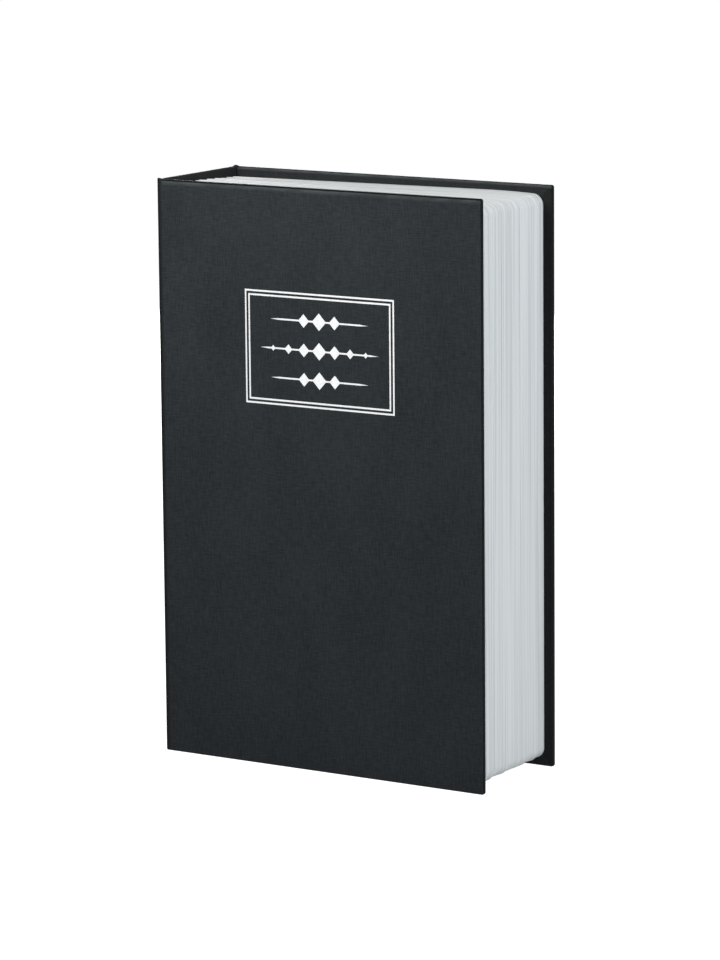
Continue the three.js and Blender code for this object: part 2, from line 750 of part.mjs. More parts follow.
const lid = group(
  "lid_group",
  piece("lid", steelLid(), blackPowderCoat),
  piece("hinge_leaf_moving", movingLeaf(), blackPowderCoat),
  lock,
);

const bookSafe = group("book_safe", frontCover, spine, backCover, steelBox, lid);

export default bookSafe;
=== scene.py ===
import json
import math
import random

import bmesh
import bpy
from mathutils import Matrix, Vector, noise


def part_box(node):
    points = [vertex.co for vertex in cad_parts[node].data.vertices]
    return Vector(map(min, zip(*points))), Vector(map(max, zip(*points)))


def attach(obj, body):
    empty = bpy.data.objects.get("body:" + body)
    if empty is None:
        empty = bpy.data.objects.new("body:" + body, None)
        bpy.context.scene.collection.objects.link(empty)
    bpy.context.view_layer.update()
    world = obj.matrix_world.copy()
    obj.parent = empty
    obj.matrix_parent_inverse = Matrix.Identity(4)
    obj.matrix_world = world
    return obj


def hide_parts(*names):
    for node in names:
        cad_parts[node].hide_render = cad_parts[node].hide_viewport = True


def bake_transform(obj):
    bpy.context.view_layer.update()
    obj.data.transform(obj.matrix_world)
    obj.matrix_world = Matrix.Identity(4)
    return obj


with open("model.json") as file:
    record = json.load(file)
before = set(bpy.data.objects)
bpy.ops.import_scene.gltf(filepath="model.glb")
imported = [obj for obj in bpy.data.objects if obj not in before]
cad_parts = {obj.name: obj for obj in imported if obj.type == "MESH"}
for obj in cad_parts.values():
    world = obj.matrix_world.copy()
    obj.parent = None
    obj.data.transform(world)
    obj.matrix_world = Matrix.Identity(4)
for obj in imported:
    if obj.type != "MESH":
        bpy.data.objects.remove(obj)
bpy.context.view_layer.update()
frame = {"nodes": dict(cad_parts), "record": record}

# Book diversion safe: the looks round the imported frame. Metres, +Z up, the front cover at -Y.

MM = 0.001
TINY = 0.01 * MM
quarter_turn = math.radians(90)
full_turn = math.radians(360)

# Sizes of the case
paper_thickness = 0.3 * MM
turn_in = 15 * MM
cover_edge_radius = 0.6 * MM
cover_edge_segments = 4
cover_corner_radius = 0.9 * MM
cover_corner_segments = 5
# Widths of the painted highlight along the head, outside and inside the covers
rubbed_highlight_width = 2.4 * MM
inner_rubbed_highlight_width = 1.3 * MM
mitre_width = 0.22 * MM
mitre_depth = 0.12 * MM
shortest_mitre = 2 * MM
fold_line_slack = 0.05 * MM
foil_press_depth = 0.17 * MM
joint_segments = 12
blend_half_band = 0.3 * MM
blend_steps = 6
ear_height = 0.7 * MM
ear_reach = 3.0 * MM
ear_side_fade = 0.8 * MM
# Where the painted shade at the joint's fold is darkest and where it ends
crease_shade_dark_x = -76.5 * MM
crease_shade_clear_x = -74.6 * MM
paper_smooth_angle = 40

# How squarely a face of the paper looks outwards or upwards, as a share of its normal. A face that
# looks out less squarely gets the painted edge shade
edge_shade_below = 0.6
edge_shade_below_at_head = 0.985
head_edge_above = 0.15

# Sizes of the page block
page_corner_radius = 4.5 * MM
page_corner_segments = 8
page_wall = 2 * MM
rim_width = 8 * MM
rim_thickness = 2.2 * MM
window_wall = 1.5 * MM
window_wall_end = -22.55 * MM
window_edge_radius = 0.7 * MM
spine_step = 0.8 * MM
tail_step = 0.45 * MM
corner_droop = 0.9 * MM
corner_reach = 26 * MM
step_reach = 7 * MM
leaf_sway = 0.32 * MM
sway_lengths = (20 * MM, 6 * MM, 80 * MM)
sway_rim = 1.5 * MM
groove_half_width = 0.12 * MM
shoulder_before_groove = 0.26 * MM
shoulder_after_groove = 0.42 * MM
leaf_line_half_width = 0.26 * MM
front_groove_gain = 1.7
edge_reach = 1.5 * MM
head_cuts = 44
tail_cuts = 30
fore_edge_cuts = 22
spine_cuts = 2
page_smooth_angle = 50
page_seed = 23

# Ranges that the leaves are drawn from, in plain millimetres
bundle_widths = (3.8, 7.2)
bundle_slants = (0.1, 0.26)
bundle_levels = (0, 0.22)
leaf_line_spacing = (1.5, 2.6)
leaf_line_depths = (0.07, 0.16)
groove_depths = (0.22, 0.42)

# How far the leaves are askew, in plain millimetres: a row at the spine and a row at the
# fore-edge, each with values at the front, a third in and at the back
head_slants = ((-0.5, -0.5, -0.5), (0.85, 0.45, 0.3))
head_lifts = ((0, 0.85, -0.8), (0, 0, 0.4))
tail_drops = ((1, 0.7, 0.2), (2.1, 1.5, 0.4))

# Sizes of the steelwork
sheet_edge_radius = 0.3 * MM
leaf_edge_radius = 0.15 * MM
fine_edge_radius = 0.06 * MM
steel_smooth_angle = 38
soften_above_angle = 40
flat_within_angle = 1
hinge_wire_sides = 32
spring_wire = 0.16 * MM
spring_wire_sides = 8
spring_turns = 7
spring_turn_steps = 16

# Sizes of the lock's pieces, in plain millimetres
turned_segments = 64
barrel_head_radius = 9
barrel_head_thickness = 2.5
barrel_bore = 5.2
barrel_recess_radius = 6.4
barrel_recess_depth = 1.2
barrel_flat = 6.85
thread_root = 7.3
thread_crest = 7.72
thread_pitch = 1
thread_flank = 0.4
thread_land = 0.1
thread_from_head = 1.2
thread_from_end = 0.8
nut_face_radius = 10.1
nut_corner_radius = 11.7
nut_chamfer = 0.75
nut_bore = 8
nut_bore_chamfer = 1
cam_hole_half_width = 3.15
screw_head_radius = 3.6
screw_head_thickness = 1.6
screw_shank_radius = 1.7
screw_slot_depth = 0.7
screw_slot_half_width = 0.45


# Editing in the way of a person at the screen

def deselect():
    bpy.ops.object.select_all(action="DESELECT")


def choose(piece):
    deselect()
    piece.select_set(True)
    bpy.context.view_layer.objects.active = piece


def start_edit(piece):
    choose(piece)
    bpy.ops.object.mode_set(mode="EDIT")
    bpy.ops.mesh.select_all(action="DESELECT")


def end_edit():
    bpy.ops.object.mode_set(mode="OBJECT")


def middle(part):
    """Middle of an edge or a face."""
    return sum((v.co for v in part.verts), Vector()) / len(part.verts)


def pick(piece, kind, wanted):
    """Select the vertices, edges or faces that pass the test."""
    bpy.ops.mesh.select_mode(type=kind)
    bpy.ops.mesh.select_all(action="DESELECT")
    mesh = bmesh.from_edit_mesh(piece.data)
    parts = {"VERT": mesh.verts, "EDGE": mesh.edges, "FACE": mesh.faces}[kind]
    for part in parts:
        if wanted(part):
            part.select_set(True)
    mesh.select_flush_mode()
    bmesh.update_edit_mesh(piece.data)


def runs_along(edge, axis):
    span = edge.verts[1].co - edge.verts[0].co
    return abs(span[axis]) > 0.99 * span.length


def settle(name):
    """Name the new primitive, and put its place, turn and scale into its mesh."""
    piece = bpy.context.active_object
    piece.name = name
    bpy.ops.object.transform_apply(location=True, rotation=True, scale=True)
    return piece


def add_block(name, low, high):
    low, high = Vector(low), Vector(high)
    deselect()
    bpy.ops.mesh.primitive_cube_add(size=1, location=(low + high) / 2, scale=high - low)
    return settle(name)


def copy_node(node, name):
    """A free copy of a CAD node, with its faces joined at their edges."""
    piece = bpy.data.objects.new(name, frame["nodes"][node].data.copy())
    bpy.context.scene.collection.objects.link(piece)
    start_edit(piece)
    bpy.ops.mesh.select_all(action="SELECT")
    bpy.ops.mesh.remove_doubles(threshold=TINY)
    end_edit()
    return piece


def apply_modifier(piece, kind, **settings):
    choose(piece)
    modifier = piece.modifiers.new(kind.lower(), kind)
    for setting, value in settings.items():
        setattr(modifier, setting, value)
    bpy.ops.object.modifier_apply(modifier=modifier.name)


def combine(piece, tool, operation):
    """Join or cut with a second solid, which is used up."""
    apply_modifier(piece, "BOOLEAN", operation=operation, solver="EXACT", object=tool)
    bpy.data.objects.remove(tool)


def smooth(piece, degrees):
    """Soft shading over the rounded edges, and flat faces kept flat."""
    choose(piece)
    bpy.ops.object.shade_smooth_by_angle(angle=math.radians(degrees))
    apply_modifier(piece, "WEIGHTED_NORMAL", keep_sharp=True, weight=100)


# Materials

def linear(hex_colour):
    """An sRGB hex colour as linear values with alpha."""
    values = [int(hex_colour[i:i + 2], 16) / 255 for i in (1, 3, 5)]
    return [v / 12.92 if v <= 0.04045 else ((v + 0.055) / 1.055) ** 2.4 for v in values] + [1]


def add_node(tree, kind, inputs=None, **settings):
    """Add a node with its settings, and set or link its inputs."""
    made = tree.nodes.new(kind)
    for setting, value in settings.items():
        setattr(made, setting, value)
    for socket, value in (inputs or {}).items():
        if isinstance(value, bpy.types.NodeSocket):
            tree.links.new(value, made.inputs[socket])
        else:
            made.inputs[socket].default_value = value
    return made


def new_material(name, **shader_values):
    """A material with its Principled shader, whose plain values are set on its own sockets."""
    material = bpy.data.materials.new(name)
    material.use_nodes = True
    tree = material.node_tree
    shader = tree.nodes["Principled BSDF"]
    for socket, value in shader_values.items():
        shader.inputs[socket.replace("_", " ")].default_value = value
    return material, tree, shader


def surface_grain(tree, millimetres, detail):
    """A cloudy pattern fixed to the piece, with its length along X, Y and Z in millimetres."""
    place = add_node(tree, "ShaderNodeTexCoord")
    scale = [1 / (length * MM) for length in millimetres]
    mapping = add_node(tree, "ShaderNodeMapping", {"Vector": place.outputs["Object"], "Scale": scale})
    inputs = {"Vector": mapping.outputs["Vector"], "Scale": 1.0, "Detail": detail}
    return add_node(tree, "ShaderNodeTexNoise", inputs).outputs["Fac"]


# Nearly all of a pattern's values lie in this reach
usual_reach = (0.25, 0.75)


def finish_surface(
    tree, shader, pattern, dark, light, reach=usual_reach, grain=None, rough=None, relief=None
):
    """Colour a surface from dark to light over the reach of its pattern.

    Its grain, or else the same pattern, gives its roughness and its relief in millimetres.
    """
    if grain is None:
        grain = pattern
    share = add_node(
        tree, "ShaderNodeMapRange", {"Value": pattern, "From Min": reach[0], "From Max": reach[1]}
    )
    colour = add_node(
        tree, "ShaderNodeMix",
        {0: share.outputs["Result"], 6: linear(dark), 7: linear(light)},
        data_type="RGBA",
    )
    tree.links.new(colour.outputs[2], shader.inputs["Base Color"])
    if rough is not None:
        roughness = add_node(tree, "ShaderNodeMapRange", {
            "Value": grain,
            "From Min": usual_reach[0],
            "From Max": usual_reach[1],
            "To Min": rough[0],
            "To Max": rough[1],
        })
        tree.links.new(roughness.outputs["Result"], shader.inputs["Roughness"])
    if relief is not None:
        bumps = add_node(
            tree, "ShaderNodeBump", {"Height": grain, "Distance": relief * MM, "Strength": 1.0}
        )
        tree.links.new(bumps.outputs["Normal"], shader.inputs["Normal"])


def lay_over(tree, shader, share, colour):
    """Lay another colour over the surface's own one, by the given share."""
    own = shader.inputs["Base Color"].links[0].from_socket
    laid = add_node(tree, "ShaderNodeMix", {0: share, 6: own, 7: colour}, data_type="RGBA")
    tree.links.new(laid.outputs[2], shader.inputs["Base Color"])


def place_along(tree, axis):
    """Place of a point along one axis of the book, in metres."""
    place = add_node(tree, "ShaderNodeTexCoord")
    return add_node(
        tree, "ShaderNodeSeparateXYZ", {"Vector": place.outputs["Object"]}
    ).outputs[axis]


# Tones of the cover paper: its own faded tone outside, and darker copies that paint shade on the
# turn-ins and the edges
faded_tones = ("#24292d", "#33383c")
turned_shade_tones = ("#232628", "#2e3132")
shaded_tones = ("#1d1f20", "#262728")
edge_shade_tones = ("#0b0d0e", "#111415")

# The linen's thread length and spacing in millimetres
linen_length = 4.2
linen_spacing = 0.5


def linen_threads(tree):
    """The emboss of the cover paper: short threads along and across, drawn twice as coarse."""
    across = surface_grain(tree, (linen_length, linen_length, linen_spacing), 1)
    upright = surface_grain(tree, (linen_spacing, linen_spacing, linen_length), 1)
    return add_node(tree, "ShaderNodeMix", {0: 0.5, 2: across, 3: upright}).outputs[0]


def linen_paper(name, dark, light):
    """Coated cover paper with a linen emboss: matt, with a cloudy tone under the threads."""
    material, tree, shader = new_material(name, IOR=1.45, Specular_IOR_Level=0.05)
    threads = linen_threads(tree)
    clouds = surface_grain(tree, (22, 22, 40), 4)
    cloud_share = 0.22
    tone = add_node(tree, "ShaderNodeMix", {0: cloud_share, 2: threads, 3: clouds}).outputs[0]
    finish_surface(
        tree, shader, tone, dark, light,
        reach=(0.36, 0.64), grain=threads, rough=(0.52, 0.66), relief=0.06,
    )
    return material, tree, shader


def faded_linen_paper():
    """Linen paper on the outer faces, dulled to charcoal by light and hands."""
    return linen_paper("faded_linen_paper", *faded_tones)[0]


def turned_shade_linen_paper():
    """Linen paper turned in over the head and the tail, darkened a little by painted shade."""
    return linen_paper("turned_shade_linen_paper", *turned_shade_tones)[0]


def shaded_linen_paper():
    """Linen paper turned in over the fore-edge, darkened more by painted shade."""
    return linen_paper("shaded_linen_paper", *shaded_tones)[0]


def edge_shade_linen_paper():
    """Linen paper round the boards' edges, painted nearly black as shade."""
    return linen_paper("edge_shade_linen_paper", *edge_shade_tones)[0]


def rubbed_highlight_linen_paper(name, tones, width):
    """Linen paper along the head, lighter there as a painted highlight that is broken into dashes of
    scuffing.
    """
    material, tree, shader = linen_paper(name, *tones)
    # Lighter greys laid over the head as a painted highlight, in dashes like scuffs
    dashes = surface_grain(tree, (9, 9, 2), 3)
    rubbed_highlight_share = add_node(
        tree, "ShaderNodeMapRange", {"Value": dashes, "From Min": 0.4, "From Max": 0.58, "To Min": 0.2}
    )
    worn_highlight = add_node(
        tree, "ShaderNodeMix",
        {0: rubbed_highlight_share.outputs["Result"], 6: linear("#363c40"), 7: linear("#4b5155")},
        data_type="RGBA",
    )
    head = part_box("front_cover_cloth")[1].z
    highlight_band = add_node(tree, "ShaderNodeMapRange", {
        "Value": place_along(tree, "Z"),
        "From Min": head - width,
        "From Max": head - cover_edge_radius,
    })
    lay_over(tree, shader, highlight_band.outputs["Result"], worn_highlight.outputs[2])
    return material


def crease_shade_linen_paper():
    """Linen paper round a joint, with painted shade that darkens it towards the fold on its spine
    side.
    """
    material, tree, shader = linen_paper("crease_shade_linen_paper", *faded_tones)
    crease_shade = add_node(tree, "ShaderNodeMapRange", {
        "Value": place_along(tree, "X"),
        "From Min": crease_shade_dark_x,
        "From Max": crease_shade_clear_x,
        "To Min": 1,
        "To Max": 0,
    })
    # Painted shade towards the fold
    lay_over(tree, shader, crease_shade.outputs["Result"], linear("#131618"))
    return material


def grey_board_card():
    """Raw grey board: pulp fibres in a warm grey."""
    material, tree, shader = new_material("grey_board_card", Roughness=0.95)
    fibres = surface_grain(tree, (1.2, 1.2, 0.5), 6)
    finish_surface(tree, shader, fibres, "#7f786c", "#989184", relief=0.04)
    return material


def dark_lining_paper():
    """Uncoated dyed paper: a flat dark grey with a faint felt grain."""
    material, tree, shader = new_material("dark_lining_paper", Roughness=0.9, Specular_IOR_Level=0.2)
    felt = surface_grain(tree, (0.9, 0.9, 0.9), 5)
    finish_surface(tree, shader, felt, "#222426", "#2a2c2e", relief=0.02)
    return material


def moulded_page_plastic():
    """Moulded ABS in a cool white, with the leaf lines of its mould along the edges."""
    material, tree, shader = new_material(
        "moulded_page_plastic", Roughness=0.6, IOR=1.5, Specular_IOR_Level=0.3
    )
    leaves = surface_grain(tree, (60, 0.7, 140), 1)
    bundles = surface_grain(tree, (80, 2.4, 160), 1)
    bundle_share = 0.35
    lines = add_node(tree, "ShaderNodeMix", {0: bundle_share, 2: leaves, 3: bundles}).outputs[0]
    finish_surface(
        tree, shader, lines, "#cad0d3", "#dce2e5", reach=(0.36, 0.54), grain=leaves, relief=0.12
    )
    return material


def black_powder_coat():
    """Baked powder coat on steel: near black with a fine orange-peel grain."""
    material, tree, shader = new_material("black_powder_coat", IOR=1.5)
    peel = surface_grain(tree, (0.6, 0.6, 0.6), 4)
    finish_surface(tree, shader, peel, "#191a1c", "#242628", rough=(0.42, 0.58), relief=0.05)
    return material


def chrome_plate():
    """Bright chromium plating over brass, with faint polishing streaks."""
    material, tree, shader = new_material("chrome_plate", Metallic=1.0)
    streaks = surface_grain(tree, (0.3, 4, 0.3), 3)
    finish_surface(tree, shader, streaks, "#c3c6ca", "#d0d3d7", rough=(0.1, 0.18))
    return material


def zinc_plate():
    """Zinc-plated steel: satin, with a cloudy bloom."""
    material, tree, shader = new_material("zinc_plate", Metallic=1.0)
    bloom = surface_grain(tree, (2.5, 2.5, 2.5), 4)
    finish_surface(tree, shader, bloom, "#a3a7ac", "#b9bdc1", rough=(0.32, 0.46))
    return material


def stamped_brass():
    """Stamped sheet brass with fine drawing lines."""
    material, tree, shader = new_material("stamped_brass", Metallic=1.0)
    lines = surface_grain(tree, (0.2, 0.2, 3), 3)
    finish_surface(tree, shader, lines, "#ad8a42", "#c4a052", rough=(0.28, 0.4))
    return material


def hot_stamped_foil():
    """Silver stamping foil: a thin metal film that takes the paper's emboss."""
    material, tree, shader = new_material("hot_stamped_foil", Metallic=0.85)
    threads = linen_threads(tree)
    finish_surface(tree, shader, threads, "#dcdfe2", "#eef0f2", rough=(0.3, 0.45), relief=0.02)
    return material


finishes = {
    "cover_paper": faded_linen_paper(),
    "grey_board": grey_board_card(),
    "lining_paper": dark_lining_paper(),
    "page_plastic": moulded_page_plastic(),
    "powder_coat": black_powder_coat(),
    "chrome": chrome_plate(),
    "zinc_steel": zinc_plate(),
    "brass": stamped_brass(),
    "silver_foil": hot_stamped_foil(),
}
slot_of = {part["node"]: part["material_slot"] for part in frame["record"]["subparts"]}


def dress(piece, slot):
    """Give a new piece the finish of the given slot."""
    piece.data.materials.clear()
    piece.data.materials.append(finishes[slot])


for node, slot in slot_of.items():
    for material_slot in frame["nodes"][node].material_slots:
        material_slot.material = finishes[slot]


# The case

# Copies of the cover paper that carry painted shade and painted highlights, laid out by place in
# dress_wrap and joint_paper
shaded_paper = shaded_linen_paper()
turned_shade_paper = turned_shade_linen_paper()
edge_shade_paper = edge_shade_linen_paper()
rubbed_highlight_paper = rubbed_highlight_linen_paper("rubbed_highlight_linen_paper", faded_tones, rubbed_highlight_width)
rubbed_highlight_rim_paper = rubbed_highlight_linen_paper("rubbed_highlight_rim_paper", turned_shade_tones, inner_rubbed_highlight_width)
crease_shade_paper = crease_shade_linen_paper()


def dress_wrap(wrap, outward, is_cover):
    """Cover paper by place: faded outside, with painted shade where it is turned in and at the edges,
    and a painted highlight along the head.
    """
    dress(wrap, "cover_paper")
    # Slot 0 is the faded paper. The others paint shade on the turn-ins and the edges, and a highlight
    # along the head
    shaded, turned, edge_shade, rubbed_highlight, rubbed_highlight_rim = range(1, 6)
    for paper in (shaded_paper, turned_shade_paper, edge_shade_paper, rubbed_highlight_paper, rubbed_highlight_rim_paper):
        wrap.data.materials.append(paper)
    outward = Vector(outward)
    low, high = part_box("front_cover_cloth")
    for face in wrap.data.polygons:
        at = face.center
        facing = face.normal.dot(outward)
        at_head = at.z > high.z - rubbed_highlight_width
        at_inner_rim = facing < 0 and at.z > high.z - inner_rubbed_highlight_width
        beside_mitre = min(at.z - low.z, high.z - at.z) > high.x - at.x
        over_the_head = face.normal.z > head_edge_above and facing > 0
        if abs(facing) < (edge_shade_below_at_head if over_the_head else edge_shade_below):
            face.material_index = edge_shade
        elif at_inner_rim and is_cover:
            face.material_index = rubbed_highlight_rim
        elif facing < 0:
            # Turn-ins take painted shade: darker beside the fore-edge and on the spine, lighter at the
            # head and the tail
            face.material_index = shaded if beside_mitre or not is_cover else turned
        elif is_cover and at_head:
            face.material_index = rubbed_highlight


def cover_wrap(name, node, outer):
    """Paper round one board. Outer is -1 where its outer face looks to -Y, and 1 for +Y."""
    low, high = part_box(node)
    wrap = add_block(name, low, high)
    window_x = high.x - turn_in
    window_z = (low.z + turn_in, high.z - turn_in)
    start_edit(wrap)
    pick(wrap, "EDGE", lambda edge: runs_along(edge, 1) and middle(edge).x > high.x - TINY)
    bpy.ops.mesh.bevel(offset=cover_corner_radius, segments=cover_corner_segments)
    pick(wrap, "FACE", lambda face: middle(face).x < low.x + TINY)
    bpy.ops.mesh.delete(type="FACE")

    def is_rim(edge):
        facing = [abs(face.normal.y) > 0.9 for face in edge.link_faces]
        return sorted(facing) == [False, True]

    pick(wrap, "EDGE", is_rim)
    bpy.ops.mesh.bevel(offset=cover_edge_radius, segments=cover_edge_segments)

    # Cut where the painted highlights along the head end
    for width in (rubbed_highlight_width, inner_rubbed_highlight_width):
        bpy.ops.mesh.select_all(action="SELECT")
        bpy.ops.mesh.bisect(plane_co=(0, 0, high.z - width), plane_no=(0, 0, 1))

    def is_inner(face):
        return face.normal.y * outer < -0.99

    cuts = [
        ((window_x, 0, 0), (1, 0, 0)),
        ((0, 0, window_z[0]), (0, 0, 1)),
        ((0, 0, window_z[1]), (0, 0, 1)),
    ]
    for place, direction in cuts:
        pick(wrap, "FACE", is_inner)
        bpy.ops.mesh.bisect(plane_co=place, plane_no=direction)
    for corner_z, lean in ((window_z[0], 1), (window_z[1], -1)):
        def in_corner(face):
            beyond = (middle(face).z - corner_z) * lean < 0
            return is_inner(face) and beyond and middle(face).x > window_x
        pick(wrap, "FACE", in_corner)
        bpy.ops.mesh.bisect(plane_co=(window_x, 0, corner_z), plane_no=(1, 0, lean))

    def in_window(face):
        at = middle(face)
        return is_inner(face) and at.x < window_x and window_z[0] < at.z < window_z[1]

    pick(wrap, "FACE", in_window)
    bpy.ops.mesh.delete(type="FACE")

    def is_mitre(edge):
        span = edge.verts[1].co - edge.verts[0].co
        even = abs(abs(span.x) - abs(span.z)) < TINY and abs(span.y) < TINY
        return even and span.length > shortest_mitre

    pick(wrap, "EDGE", is_mitre)
    bpy.ops.mesh.bevel(offset=mitre_width, segments=2)

    def is_fold_line(edge):
        at = middle(edge)
        lift = min(abs(at.z - window_z[0]), abs(at.z - window_z[1]))
        return is_mitre(edge) and abs(lift - (at.x - window_x)) < fold_line_slack

    pick(wrap, "EDGE", is_fold_line)
    bpy.ops.transform.translate(value=(0, outer * mitre_depth, 0))
    end_edit()
    apply_modifier(wrap, "SOLIDIFY", thickness=paper_thickness, offset=-1, use_even_offset=True)
    return wrap


def press_foil(wrap, node):
    """Sink the paper under a foil piece, in the outline of the foil."""
    tool = copy_node(node, "foil_press")
    outer_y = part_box("front_cover_cloth")[0].y
    front_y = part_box(node)[0].y
    start_edit(tool)
    pick(tool, "VERT", lambda vert: vert.co.y < front_y + TINY)
    bpy.ops.transform.translate(value=(0, outer_y - front_y - foil_press_depth, 0))
    pick(tool, "VERT", lambda vert: vert.co.y > front_y + TINY)
    sunk = outer_y + foil_press_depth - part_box(node)[1].y
    bpy.ops.transform.translate(value=(0, sunk, 0))
    end_edit()
    combine(wrap, tool, "DIFFERENCE")


foil_nodes = [
    "foil_outer_rule", "foil_inner_rule",
    "foil_ornament_top", "foil_ornament_middle", "foil_ornament_bottom",
]
front_wrap = cover_wrap("front_cover_wrap", "front_cover_cloth", -1)
for foil in foil_nodes:
    press_foil(front_wrap, foil)
smooth(front_wrap, paper_smooth_angle)
dress_wrap(front_wrap, (0, -1, 0), True)
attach(front_wrap, "front_cover")
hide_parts("front_cover_cloth")

back_wrap = cover_wrap("back_cover_wrap", "back_cover_cloth", 1)
smooth(back_wrap, paper_smooth_angle)
dress_wrap(back_wrap, (0, 1, 0), True)
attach(back_wrap, "safe")
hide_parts("back_cover_cloth")


def spine_wrap():
    """Paper round the spine's board, open at the two long joints."""
    low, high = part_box("spine_cloth")
    wrap = add_block("spine_wrap", low, high)
    start_edit(wrap)
    pick(wrap, "FACE", lambda face: abs(face.normal.y) > 0.9)
    bpy.ops.mesh.delete(type="FACE")
    pick(wrap, "EDGE", lambda edge: runs_along(edge, 1))
    bpy.ops.mesh.bevel(offset=cover_edge_radius, segments=cover_edge_segments)
    for height in (low.z + turn_in, high.z - turn_in):
        pick(wrap, "FACE", lambda face: face.normal.x > 0.99)
        bpy.ops.mesh.bisect(plane_co=(0, 0, height), plane_no=(0, 0, 1))
    pick(
        wrap, "FACE",
        lambda face: face.normal.x > 0.99 and low.z + turn_in < middle(face).z < high.z - turn_in,
    )
    bpy.ops.mesh.delete(type="FACE")
    end_edit()
    apply_modifier(wrap, "SOLIDIFY", thickness=paper_thickness, offset=-1, use_even_offset=True)
    smooth(wrap, paper_smooth_angle)
    dress_wrap(wrap, (-1, 0, 0), False)
    return wrap


spine_paper = spine_wrap()
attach(spine_paper, "spine")
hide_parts("spine_cloth")


def joint_paper(name, node, outer):
    """Paper round a long joint, with its small ear at the head."""
    low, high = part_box(node)
    spine_low, spine_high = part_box("spine_cloth")
    axis_x, axis_y = (low.x + high.x) / 2, (low.y + high.y) / 2
    radius = (high.y - low.y) / 2
    end_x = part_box("front_cover_cloth")[0].x
    end_y = spine_low.y if outer < 0 else spine_high.y
    outer_y = axis_y + outer * radius
    strip = add_block(
        name,
        (axis_x - radius, min(outer_y, end_y), low.z),
        (end_x, max(outer_y, end_y), high.z),
    )
    inner_step = end_x - axis_x - radius

    def is_upright(edge, x, y):
        at = middle(edge)
        return runs_along(edge, 2) and abs(at.x - x) < TINY and abs(at.y - y) < TINY

    start_edit(strip)
    pick(strip, "EDGE", lambda edge: is_upright(edge, axis_x - radius, outer_y))
    bpy.ops.mesh.bevel(offset=radius, segments=joint_segments)
    pick(strip, "EDGE", lambda edge: is_upright(edge, end_x, end_y))
    bpy.ops.mesh.bevel(offset=inner_step, segments=1)
    pick(
        strip, "FACE",
        lambda face: face.normal.x > 0.99 or face.normal.y * outer < -0.99,
    )
    bpy.ops.mesh.delete(type="FACE")

    def is_rim(edge):
        level = [abs(face.normal.z) > 0.9 for face in edge.link_faces]
        return sorted(level) == [False, True]

    pick(strip, "EDGE", is_rim)
    bpy.ops.mesh.bevel(offset=cover_edge_radius, segments=cover_edge_segments)
    for i in range(-blend_steps, blend_steps + 1):
        bpy.ops.mesh.select_all(action="SELECT")
        place = (axis_x + i * blend_half_band / blend_steps, axis_y, 0)
        bpy.ops.mesh.bisect(plane_co=place, plane_no=(1, outer, 0))
    for height in (low.z + turn_in, high.z - turn_in):
        bpy.ops.mesh.select_all(action="SELECT")
        bpy.ops.mesh.bisect(plane_co=(0, 0, height), plane_no=(0, 0, 1))
    end_edit()
    corner = Vector((axis_x - radius, outer_y))
    for vert in strip.data.vertices:
        if vert.co.z > high.z - cover_edge_radius - TINY:
            away = (Vector(vert.co[:2]) - corner).length / ear_reach
            inside = min(end_x - vert.co.x, abs(end_y - vert.co.y)) / ear_side_fade
            vert.co.z += ear_height * max(0, 1 - away) * min(1, max(0, inside))
    apply_modifier(strip, "SOLIDIFY", thickness=paper_thickness, offset=-1, use_even_offset=True)
    smooth(strip, paper_smooth_angle)
    dress(strip, "cover_paper")
    strip.data.materials[0] = crease_shade_paper
    strip.data.materials.append(edge_shade_paper)
    strip.data.materials.append(finishes["lining_paper"])
    # Painted shade on the joint's edges, and on its inner faces at the head and the tail
    edge_shade, lining = 1, 2
    for face in strip.data.polygons:
        inner = face.normal.x > 0.5 and face.normal.y * outer < -0.5
        if inner and low.z + turn_in < face.center.z < high.z - turn_in:
            face.material_index = lining
        elif inner or abs(face.normal.z) > 0.7:
            face.material_index = edge_shade
    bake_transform(strip)
    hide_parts(node)
    return strip


joint_paper("front_joint_paper", "front_hinge_cloth", -1)
joint_paper("back_joint_paper", "back_hinge_cloth", 1)


# The page block

def bundle_starts(front, back):
    """Places along Y where one bundle of leaves ends and the next one starts."""
    widths = []
    while sum(widths) < (back - front) / MM:
        widths.append(random.uniform(*bundle_widths))
    scale = (back - front) / sum(widths)
    starts = [front]
    for width in widths:
        starts.append(starts[-1] + width * scale)
    return starts


def bundle_rings(starts):
    """Pairs of a place along Y and a depth: slanted bundles with grooves between and leaf lines."""
    rings = []
    for index in range(len(starts) - 1):
        start, end = starts[index], starts[index + 1]
        is_last = index == len(starts) - 2
        level = 0 if is_last else random.uniform(*bundle_levels) * MM
        slant = random.uniform(*bundle_slants) * MM
        share = (start - starts[0]) / (starts[-1] - starts[0])
        groove = random.uniform(*groove_depths) * (front_groove_gain - share) * MM

        def depth_at(place):
            return level + slant * (end - place) / (end - start)

        if index == 0:
            rings.append((start, depth_at(start)))
        else:
            rings.append((start + groove_half_width, depth_at(start) + groove))
            rings.append((start + shoulder_after_groove, depth_at(start + shoulder_after_groove)))
        place = start + shoulder_after_groove + random.uniform(*leaf_line_spacing) * MM
        while place < end - 2 * shoulder_after_groove:
            line = random.uniform(*leaf_line_depths) * MM
            before, after = place - leaf_line_half_width, place + leaf_line_half_width
            rings.append((before, depth_at(before)))
            rings.append((place, depth_at(place) + line))
            rings.append((after, depth_at(after)))
            place += random.uniform(*leaf_line_spacing) * MM
        if is_last:
            rings.append((end, level))
        else:
            rings.append((end - shoulder_before_groove, level))
            rings.append((end - groove_half_width, level + groove / 2))
    return rings


